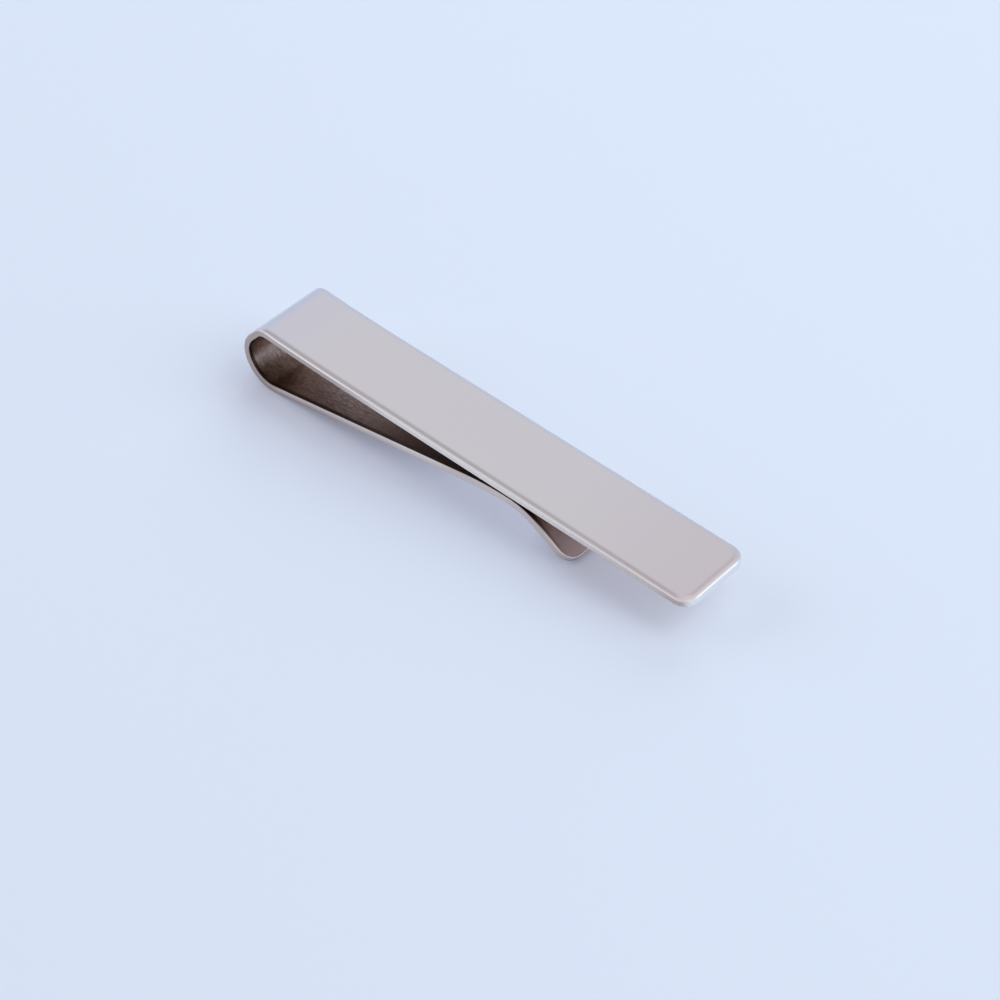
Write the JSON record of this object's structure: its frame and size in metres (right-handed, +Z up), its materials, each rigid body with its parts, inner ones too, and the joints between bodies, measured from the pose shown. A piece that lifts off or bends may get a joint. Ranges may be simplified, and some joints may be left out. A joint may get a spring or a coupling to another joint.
{
  "type": "tie clip",
  "caption": "Slide-on tie clip: one springy metal strip folded at a round bend into a flat front bar and a rear arm with a grip crest and a flared entry lip.",
  "frame": {"origin": "centre of the clip's footprint, on the table it lies on", "axes": "+X from the bend to the free end of the front bar, +Y across the strip, +Z up with the front bar on top"},
  "size_m": [0.0518, 0.008, 0.007],
  "materials": {
    "metal": "satin, lightly tumbled"
  },
  "bodies": {
    "rear": {"lower_bend": "metal", "rear_arm": "metal", "grip_crest": "metal", "entry_lip": "metal"},
    "front": {"front_bar": "metal", "bar_bow": "metal", "upper_bend": "metal"}
  },
  "joints": [
    {"name": "bend_flex", "type": "hinge", "parent": "rear", "child": "front", "pos_m": [-0.02587, 0, 0.00325], "axis": [0, -1, 0], "range_deg": [0, 8], "stiffness_Nm_per_rad": 2.5}
  ]
}
